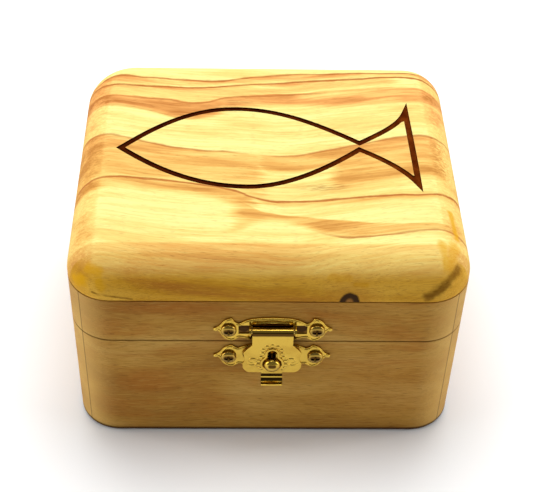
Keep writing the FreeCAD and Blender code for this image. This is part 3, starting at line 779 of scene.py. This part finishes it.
def burnt_wood():
    """Charred floor and sides of the engraved line."""
    graph = Graph("burnt_line")
    x, y, z = graph.place()
    char = graph.noise(x * 0.3, y * 0.3, z * 0.3, detail=3.0)
    fine = graph.noise(x * 2.0, y * 5.0, z * 3.0, detail=2.0)
    warm = x.rise(-5.0, 40.0) * 0.30
    tone = char * 0.7 + fine * 0.35 + warm - 0.2
    colour = graph.ramp(tone, [(0.25, CHAR), (0.55, SCORCHED), (0.90, SINGED)])
    return graph.finish({
        "Base Color": colour,
        "Roughness": 0.78 + fine * 0.2,
        "Specular IOR Level": 0.0,
        "Normal": graph.bump(fine, 0.08),
    })


# Brass finishes: bright colour, worn colour, roughness, depth of the marks
CLASP_BRASS = ((0.61, 0.405, 0.062), (0.46, 0.27, 0.036), 0.13, 0.009)
SCREW_BRASS = ((0.50, 0.32, 0.060), (0.34, 0.20, 0.035), 0.16, 0.008)
PIN_BRASS = ((0.62, 0.42, 0.10), (0.45, 0.28, 0.06), 0.28, 0.010)
HINGE_BRASS = ((0.64, 0.43, 0.10), (0.46, 0.29, 0.06), 0.27, 0.012)
# Dark brown for tarnish and for painted shade and painted dark reflections on the brass
TARNISH_AND_SHADE_TONE = (0.05, 0.019, 0.004)
# Level bars of dark colour, seen from the front: half length, height, radius. In order they paint a dark
# reflection on the knuckle's lower half, shade in the gap under the brow, tarnish and shade in the tab's
# hollow and on the line below it, and a dark reflection on the stud's dome
CLASP_TARNISH_AND_SHADE = [
    (4.9, KNUCKLE.z + 0.1, 0.60),
    (3.8, KNUCKLE.z + 1.65, 0.28),
    (2.6, HASP_LOW.z + 2.25, 0.55),
    (2.6, HASP_LOW.z + 1.0, 0.28),
    (0.5, STUD_MIDDLE.z + 0.6, 0.55),
]
# The same on a screw, with its height from the screw's middle: a painted dark reflection across the
# middle of the head
SCREW_DARK_REFLECTION = (0.5, 0.2, 0.85)


def dark_bar(x, half, height, radius):
    return (x - half, height), (x + half, height), radius


def screw_middles(part):
    """Middles of a plate's two screws on its front, and the radius of their heads."""
    low, high = node_box("clasp_screws_" + part)
    radius = (high.z - low.z) / 2
    height = (low.z + high.z) / 2
    return [Vector((x, PLATE_FRONT, height)) for x in (low.x + radius, high.x - radius)], radius


def screw_dark_reflections():
    """Painted dark reflections round the slots of the clasp's screws."""
    half, rise, radius = SCREW_DARK_REFLECTION
    middles = screw_middles("lid")[0] + screw_middles("base")[0]
    return [dark_bar(middle.x, half, middle.z + rise, radius) for middle in middles]


def brass(name, base, worn, roughness, grain, dark_bars=()):
    """Bright plated brass with faint rolling marks, cloudy patches and small dents, and dark bars painted
    on: tarnish in hollows, painted shade and painted dark reflections.
    """
    graph = Graph(name)
    x, y, z = graph.place()
    cloud = graph.noise(x * 0.25, y * 0.25, z * 0.25, detail=3.0)
    rolled = graph.noise(x * 0.4, y * 5.0, z * 5.0, detail=3.0)
    fine = graph.noise(x * 4.0, y * 4.0, z * 4.0, detail=2.0)
    colour = graph.mix(cloud.rise(0.45, 0.75) * 0.6, base, worn)
    colour = graph.mix(fine.rise(0.62, 0.75) * 0.35, colour, worn)
    for start, end, radius in dark_bars:
        darkening = streak(graph, (x, z), start, end, radius, (cloud - 0.5) * 0.4)
        colour = graph.mix(darkening * 0.95, colour, TARNISH_AND_SHADE_TONE)
    rough = cloud * 0.14 + fine * 0.10 + (roughness - 0.10)
    return graph.finish({
        "Base Color": colour,
        "Metallic": 1.0,
        "Roughness": rough,
        "Normal": graph.bump(rolled * 0.5 + fine * 0.5, grain),
    })


# Wooden pieces

def wall_section(low, high, eased_low, eased_high, rabbet):
    """Cross-section of a wall as (depth from the outside, height), going round once."""
    points = []
    for turn in quarter_turn(EASE_STEPS):
        points.append((eased_low * (1 - math.sin(turn)), low + eased_low * (1 - math.cos(turn))))
    for turn in quarter_turn(EASE_STEPS):
        points.append((eased_high * (1 - math.cos(turn)), high - eased_high * (1 - math.sin(turn))))
    points += [(WALL - INNER_EASE, high), (WALL, high - INNER_EASE)]
    if rabbet:
        depth = HALF_WIDTH - rabbet.x
        points += [(WALL, rabbet.z), (depth, rabbet.z), (depth, low)]
    else:
        points += [(WALL, low + INNER_EASE), (WALL - INNER_EASE, low)]
    return points


def wall_point(depth, share, half_length, half_reach):
    """Distances along and out of a section's point, from the mitre (share 0) to the straight part (1)."""
    if depth < ROUNDED_DEPTH:
        angle = math.pi / 4 * (1 - share)
        along = half_length - CORNER + (CORNER - depth) * math.sin(angle)
        out = half_reach - CORNER + (CORNER - depth) * math.cos(angle)
    else:
        along = (half_length - depth) * (1 - share) + (half_length - CORNER) * share
        out = half_reach - depth
    return along, out


def wall_mesh(section, half_length, half_reach, quarter_turns):
    """A mitred wall with rounded outer corners, swept along its section."""
    bm = bmesh.new()
    shares = [k / CORNER_STEPS for k in range(CORNER_STEPS + 1)]
    rings = []
    for end, steps in ((-1, shares), (1, shares[::-1])):
        for share in steps:
            ring = []
            for depth, height in section:
                along, out = wall_point(depth, share, half_length, half_reach)
                ring.append(Vector((end * along, -out, height)))
            rings.append(ring)
    loft(bm, rings)
    turn = Matrix.Rotation(math.pi / 2 * quarter_turns, 4, "Z")
    bmesh.ops.transform(bm, matrix=turn, verts=bm.verts)
    return bm


def build_walls(front_wood, side_wood):
    rabbet = Vector((FLOOR_HIGH.x + FLOOR_GAP, 0, FLOOR_HIGH.z))
    sections = {
        "base": wall_section(0.0, SPLIT, FOOT_EASE, WALL_EASE, rabbet),
        "lid": wall_section(SPLIT, GLUE, WALL_EASE, GLUED_EASE, None),
    }
    places = [("front", HALF_WIDTH, HALF_DEPTH), ("right", HALF_DEPTH, HALF_WIDTH),
              ("back", HALF_WIDTH, HALF_DEPTH), ("left", HALF_DEPTH, HALF_WIDTH)]
    for part, section in sections.items():
        for turns, (place, length, reach) in enumerate(places):
            bm = wall_mesh(section, length, reach, turns)
            wood = front_wood if place in ("front", "back") else side_wood
            piece(bm, "%s_wall_%s" % (part, place), [wood], node="%s_%s" % (part, place))


def board_ring(inset, height):
    """Points round the top board at an inset from its outline."""
    reach_x = HALF_WIDTH - inset
    reach_y = HALF_DEPTH - inset
    ring = []
    for quarter, (sx, sy) in enumerate(((1, 1), (-1, 1), (-1, -1), (1, -1))):
        corner = max(BOARD_CORNERS[quarter] - inset, BOARD_LEAST_CORNER)
        centre = Vector((sx * (reach_x - corner), sy * (reach_y - corner)))
        for turn in quarter_turn(CORNER_STEPS):
            angle = math.pi / 2 * quarter + turn
            ring.append(Vector((
                centre.x + corner * math.cos(angle), centre.y + corner * math.sin(angle), height)))
    return ring


def ornament_line():
    line = []
    for handles in ORNAMENT_SPANS:
        points = [Vector((x, y, 0)) for x, y in handles]
        line += interpolate_bezier(*points, ORNAMENT_STEPS)[:-1]
    return line


def ornament_edges(line):
    """Both edges of the engraved line. Inside a sharp corner the edge stops at the mitre point."""
    count = len(line)
    sides = {1: [], -1: []}
    corners = []
    for i, point in enumerate(line):
        before = (point - line[i - 1]).normalized()
        after = (line[(i + 1) % count] - point).normalized()
        across = (Vector((-before.y, before.x, 0)) + Vector((-after.y, after.x, 0))) / 2
        reach = ORNAMENT_WIDTH / 2 * across / across.length_squared
        for side in sides:
            sides[side].append(point + reach * side)
        if before.angle(after) > SHARP_ANGLE:
            inner = 1 if before.cross(after).z > 0 else -1
            corners.append((i, inner, reach.dot(before) * inner))
    for i, inner, setback in corners:
        for step in (1, -1):
            j = i
            passed = 0.0
            while passed < abs(setback):
                sides[inner][j % count] = sides[inner][i]
                passed += (line[(j + step) % count] - line[j % count]).length
                j += step
    return sides


def ornament_tool():
    """The band that the engraved line takes out of the board."""
    bm = bmesh.new()
    sides = ornament_edges(ornament_line())
    low = Vector((0, 0, TOP - ORNAMENT_DEPTH))
    high = Vector((0, 0, TOP + ORNAMENT_DEPTH))
    rings = [[b + low, a + low, a + high, b + high] for a, b in zip(sides[1], sides[-1])]
    loft(bm, rings + rings[:1], capped=False)
    bmesh.ops.remove_doubles(bm, verts=bm.verts, dist=ORNAMENT_WELD)
    for face in bm.faces:
        face.material_index = 1
    return bm


def build_top(wood, burnt):
    bm = bmesh.new()
    rings = []
    for turn in quarter_turn(EASE_STEPS):
        inset = BOARD_FOOT * (1 - math.sin(turn))
        rings.append(board_ring(inset, GLUE + BOARD_FOOT * (1 - math.cos(turn))))
    for turn in quarter_turn(SHOULDER_STEPS):
        inset = BOARD_SHOULDER * (1 - math.cos(turn))
        rings.append(board_ring(inset, TOP - BOARD_SHOULDER * (1 - math.sin(turn))))
    rings.append(board_ring(BOARD_SHOULDER + BOARD_RIM, TOP))
    loft(bm, rings)
    bmesh.ops.recalc_face_normals(bm, faces=bm.faces)
    tool = ornament_tool()
    bmesh.ops.recalc_face_normals(tool, faces=tool.faces)
    bm = cut(bm, tool, "top_board")
    piece(bm, "top_board", [wood, burnt], node="lid_top")


def build_floor(wood):
    bm = bmesh.new()
    low, high = FLOOR_LOW.z, FLOOR_HIGH.z
    rings = []
    for inset, height in (
            (INNER_EASE, low), (0, low + INNER_EASE), (0, high - INNER_EASE), (INNER_EASE, high)):
        x = FLOOR_HIGH.x - inset
        y = FLOOR_HIGH.y - inset
        rings.append([Vector((*corner, height)) for corner in ((-x, -y), (x, -y), (x, y), (-x, y))])
    loft(bm, rings)
    piece(bm, "floor_board", [wood], node="base_floor")


# Fittings

def front_outline(bm, front):
    """Points of the outermost outline of a flat front face, in order."""
    faces = set()
    for face in bm.faces:
        if face.normal.y < -FACING and abs(face.calc_center_median().y - front) < FRONT_REACH:
            faces.add(face)
    edges = [e for e in bm.edges if len(faces.intersection(e.link_faces)) == 1]
    loops = []
    while edges:
        edge = edges.pop()
        loop = list(edge.verts)
        while loop[0] != loop[-1]:
            edge = next(e for e in loop[-1].link_edges if e in edges)
            edges.remove(edge)
            loop.append(edge.other_vert(loop[-1]))
        loops.append([vert.co.copy() for vert in loop[:-1]])
    return max(loops, key=lambda points: max(p.x for p in points) - min(p.x for p in points))


def bead(bm, points, width, height, closed=False):
    """Adds a rounded ridge along points on a front face; an open one thins out to both ends."""
    count = len(points)
    rings = []
    for i, point in enumerate(points):
        share = 1.0
        if closed:
            ahead = points[(i + 1) % count] - points[i - 1]
        else:
            ahead = points[min(i + 1, count - 1)] - points[max(i - 1, 0)]
            share = math.sqrt(math.sin(math.pi * (i + BEAD_TIP) / (count - 1 + 2 * BEAD_TIP)))
        side = ahead.normalized().cross(Vector((0, 1, 0)))
        ring = []
        for turn in full_turn(BEAD_STEPS):
            reach = side * (math.cos(turn) * width / 2) + Vector((0, -math.sin(turn) * height, 0))
            ring.append(point + reach * share)
        rings.append(ring)
    if closed:
        loft(bm, rings + rings[:1], capped=False)
        bmesh.ops.remove_doubles(bm, verts=bm.verts, dist=BEAD_WELD)
    else:
        loft(bm, rings)


def add_rim(bm, outline):
    """A raised ridge just inside the outline of a stamped plate."""
    following = outline[1:] + outline[:1]
    area = sum(a.x * b.z - b.x * a.z for a, b in zip(outline, following))
    inset = math.copysign(RIM_INSET, area)
    path = []
    for i, (point, after) in enumerate(zip(outline, following)):
        along = (point - outline[i - 1]).normalized() + (after - point).normalized()
        along.normalize()
        path.append(point + Vector((-along.z, 0, along.x)) * inset)
    bead(bm, path, RIM_WIDTH, RIM_HEIGHT, closed=True)


def add_brow(bm):
    """The arched ridge over the knuckle on the upper plate."""
    foot = KNUCKLE.z + KNUCKLE_RADIUS + BROW_GAP
    points = []
    for k in range(-BROW_STEPS, BROW_STEPS + 1):
        share = k / BROW_STEPS
        height = foot + BROW_RISE * (1 - share ** 2)
        points.append(Vector((CLASP_X + BROW_HALF * share, PLATE_FRONT, height)))
    bead(bm, points, BROW_WIDTH, BROW_HEIGHT)


def add_nubs(bm, part):
    """The small round ends of a plate's two ears, level with its screws."""
    low, high = node_box("clasp_plate_" + part)
    screw = screw_middles(part)[0][0]
    profile = [(-PLATE_SHEET, NUB_RADIUS)]
    profile += dome(0, NUB_HEIGHT, NUB_RADIUS, SMALL_DOME_STEPS)
    for x in (low.x + NUB_RADIUS, high.x - NUB_RADIUS):
        origin = Vector((x, PLATE_FRONT, screw.z))
        revolve(bm, profile, facing(FORWARD, origin), SMALL_STEPS)


def pan_head(length, shank, radius, height):
    """Profile of a screw from its tip to its crown; height 0 is under the head."""
    rim = height * HEAD_RIM
    body = [(-length, SCREW_POINT), (SCREW_TIP - length, shank), (0, shank),
            (0, radius - HEAD_EASE), (HEAD_EASE, radius)]
    return body + dome(rim, height - rim, radius)


def cross_slots(axis, origins, crown):
    """Tapered crosses that the driver slots take out of screw heads."""
    bm = bmesh.new()
    levels = [(crown - SLOT_DEPTH, SLOT_ARM / 2, SLOT_HALF / 2), (crown + SLOT_OVER, SLOT_ARM, SLOT_HALF)]
    turns = [Matrix.Rotation(math.pi / 2 * k, 4, "Z") for k in range(4)]
    for origin in origins:
        place = facing(axis, origin)
        rings = []
        for height, arm, half in levels:
            quarter = [Vector((x, y, height)) for x, y in ((half, half), (half, arm), (-half, arm))]
            rings.append([place @ (turn @ point) for turn in turns for point in quarter])
        loft(bm, rings)
    bmesh.ops.recalc_face_normals(bm, faces=bm.faces)
    return bm


def screws(axis, origins, profile, crown, name):
    bm = turned(profile, axis, origins)
    bmesh.ops.recalc_face_normals(bm, faces=bm.faces)
    return cut(bm, cross_slots(axis, origins, crown), name)


def on_hasp(side, x, z):
    """A point on the hasp's face at a distance from the stud, on its left (-1) or right (1)."""
    return Vector((CLASP_X + side * x, HASP_FRONT, STUD_MIDDLE.z + z))


def scroll_line(side):
    """A spiral on one side of the keyhole."""
    wide, narrow = SCROLL_RADII
    x, z = SCROLL_PLACE
    points = []
    for k in range(SCROLL_STEPS + 1):
        share = k / SCROLL_STEPS
        radius = wide + (narrow - wide) * share
        turn = 2 * math.pi * SCROLL_TURNS * share + math.pi
        points.append(on_hasp(side, x - radius * math.cos(turn), z + radius * math.sin(turn)))
    return points


def add_hasp_ornament(bm):
    """Petals round the keyhole and a scroll on each side of it."""
    angles = [math.radians(angle) for angle in PETAL_ANGLES]
    spots = [(PETAL_RING * math.cos(angle), PETAL_RING * math.sin(angle)) for angle in angles]
    spots += PETALS_BY_SLOT
    profile = [(-PETAL_ROOT, PETAL_RADIUS)] + dome(0, PETAL_HEIGHT, PETAL_RADIUS, SMALL_DOME_STEPS)
    for side in (-1, 1):
        for x, z in spots:
            if x or side > 0:
                revolve(bm, profile, facing(FORWARD, on_hasp(side, x, z)), SMALL_STEPS)
        bead(bm, scroll_line(side), SCROLL_WIDTH, SCROLL_HEIGHT)


def build_plate(part, clasp):
    node = "clasp_plate_" + part
    bm = cad_copy(node)
    outline = front_outline(bm, PLATE_FRONT)
    ease(bm)
    add_rim(bm, outline)
    if part == "lid":
        add_brow(bm)
    add_nubs(bm, part)
    piece(bm, node + "_stamped", [clasp], node=node)


def build_clasp_screws(part, screw):
    node = "clasp_screws_" + part
    low, high = node_box(node)
    origins, radius = screw_middles(part)
    crown = PLATE_FRONT - low.y
    profile = pan_head(high.y - PLATE_FRONT, SCREW_SHANK, radius, crown)
    bm = screws(FORWARD, origins, profile, crown, node)
    piece(bm, node + "_pan", [screw], node=node)


def build_clasp(clasp, screw):
    for part in ("lid", "base"):
        build_plate(part, clasp)
        build_clasp_screws(part, screw)
    bm = cad_copy("clasp_hasp")
    ease(bm)
    add_hasp_ornament(bm)
    piece(bm, "clasp_hasp_stamped", [clasp], node="clasp_hasp")


def build_stud(clasp):
    radius = (STUD_HIGH.z - STUD_LOW.z) / 2
    collar, thick = STUD_COLLAR
    crown = PLATE_FRONT - STUD_LOW.y
    head = crown - STUD_HEAD
    origin = Vector((CLASP_X, PLATE_FRONT, STUD_MIDDLE.z))
    profile = [(PLATE_FRONT - STUD_HIGH.y, STUD_NECK), (0, STUD_NECK), (0, collar), (thick, collar),
               (thick, STUD_NECK), (head, STUD_NECK), (head, radius)]
    profile += dome(head + STUD_RIM, STUD_HEAD - STUD_RIM, radius)
    bm = turned(profile, FORWARD, [origin])
    piece(bm, "clasp_stud_turned", [clasp], node="clasp_stud")


def build_pins(pin):
    for node in ("clasp_pin", "hinge_pin_left", "hinge_pin_right"):
        low, high = node_box(node)
        radius = (high.z - low.z) / 2
        half = (high.x - low.x) / 2
        end = dome(half - PIN_DOME, PIN_DOME, radius, SMALL_DOME_STEPS)
        profile = [(-height, reach) for height, reach in end[::-1]] + end
        bm = turned(profile, RIGHTWARD, [(low + high) / 2])
        piece(bm, node + "_wire", [pin], node=node)


def build_hinges(hinge, screw):
    for part, drop in (("base", -HINGE_SCREW_DROP), ("lid", HINGE_SCREW_DROP)):
        origins = []
        for side in ("left", "right"):
            node = "hinge_leaf_%s_%s" % (part, side)
            bm = cad_copy(node)
            ease(bm)
            piece(bm, node + "_sheet", [hinge], node=node)
            low, high = node_box("hinge_pin_" + side)
            middle = (low + high) / 2
            for x in (-HINGE_SCREW_SPREAD, HINGE_SCREW_SPREAD):
                origins.append(Vector((middle.x + x, HALF_DEPTH + HINGE_SHEET, SPLIT + drop)))
        radius, crown = HINGE_SCREW_HEAD
        profile = pan_head(HINGE_SCREW_LENGTH, HINGE_SCREW_SHANK, radius, crown)
        bm = screws(BACKWARD, origins, profile, crown, "hinge_screws_" + part)
        piece(bm, "hinge_screws_%s_pan" % part, [screw], body=part)


# Studio

CAMERA_ELEVATION = math.radians(43.831)
CAMERA_YAW = math.radians(-2.169)
CAMERA_ROLL = math.radians(1.890)
CAMERA_DISTANCE = 355.029
CAMERA_TARGET = Vector((0.397, 0.0, 27.256))
FOCAL_PIXELS = 1266.504
IMAGE_WIDTH = 533
SENSOR_WIDTH = 36.0
# The rest of the studio is in metres and watts
NEAREST = 0.01
WORLD_LIGHT = 0.20
FLOOR_HALF = 3.0
FLOOR_TONES = ((0.92, 0.92, 0.92), (0.95, 0.95, 0.95))
LIT_POINT = Vector((0, 0, 0.03))
# Area lights: name, place, width, height, power
LIGHTS = [
    ("overhead", (0.0, 0.26, 0.76), 0.7, 0.6, 7.2),
    ("left_panel", (-0.7, -0.05, 0.25), 0.5, 0.5, 2.9),
    ("right_panel", (0.7, -0.05, 0.25), 0.5, 0.5, 2.7),
]


def build_camera():
    back = Vector((
        math.sin(CAMERA_YAW) * math.cos(CAMERA_ELEVATION),
        -math.cos(CAMERA_YAW) * math.cos(CAMERA_ELEVATION),
        math.sin(CAMERA_ELEVATION)))
    right = Vector((math.cos(CAMERA_YAW), math.sin(CAMERA_YAW), 0))
    up = back.cross(right)
    level = Matrix((right, up, back)).transposed().to_4x4()
    tilt = Matrix.Rotation(CAMERA_ROLL, 4, "Z")
    data = bpy.data.cameras.new("camera")
    data.sensor_width = SENSOR_WIDTH
    data.lens = FOCAL_PIXELS * SENSOR_WIDTH / IMAGE_WIDTH
    data.clip_start = NEAREST
    camera = bpy.data.objects.new("camera", data)
    place = (CAMERA_TARGET + back * CAMERA_DISTANCE) * MM
    camera.matrix_world = Matrix.Translation(place) @ level @ tilt
    bpy.context.scene.collection.objects.link(camera)
    bpy.context.scene.camera = camera


def add_light(name, place, width, height, power):
    data = bpy.data.lights.new(name, "AREA")
    data.shape = "RECTANGLE"
    data.size = width
    data.size_y = height
    data.energy = power
    light = bpy.data.objects.new(name, data)
    turn = (LIT_POINT - Vector(place)).to_track_quat("-Z", "Y").to_matrix().to_4x4()
    light.matrix_world = Matrix.Translation(place) @ turn
    bpy.context.scene.collection.objects.link(light)


def build_studio():
    scene = bpy.context.scene
    scene.view_settings.view_transform = "Standard"
    world = bpy.data.worlds.new("studio")
    world.use_nodes = True
    background = world.node_tree.nodes["Background"]
    background.inputs["Color"].default_value = (1.0, 1.0, 1.0, 1.0)
    background.inputs["Strength"].default_value = WORLD_LIGHT
    scene.world = world

    graph = Graph("studio_floor")
    x, y, z = graph.place()
    mottle = graph.noise(x * 0.004, y * 0.004, z)
    graph.finish({
        "Base Color": graph.mix(mottle, *FLOOR_TONES),
        "Roughness": 0.7,
    })
    bm = bmesh.new()
    bmesh.ops.create_grid(bm, x_segments=8, y_segments=8, size=FLOOR_HALF)
    floor = bpy.data.objects.new("studio_floor", mesh_of(bm, "studio_floor"))
    floor.data.materials.append(graph.material)
    scene.collection.objects.link(floor)
    for light in LIGHTS:
        add_light(*light)


front_wood = wall_wood("olive_wood_front", along_x=True, shift=0.0)
side_wood = wall_wood("olive_wood_side", along_x=False, shift=130.0)
build_walls(front_wood, side_wood)
build_top(top_wood(), burnt_wood())
build_floor(floor_wood())
clasp_brass = brass("brass_clasp", *CLASP_BRASS, [dark_bar(CLASP_X, *bar) for bar in CLASP_TARNISH_AND_SHADE])
screw_brass = brass("brass_screw", *SCREW_BRASS, screw_dark_reflections())
build_clasp(clasp_brass, screw_brass)
build_stud(clasp_brass)
build_pins(brass("brass_pin", *PIN_BRASS))
build_hinges(brass("brass_hinge", *HINGE_BRASS), screw_brass)
build_camera()
build_studio()
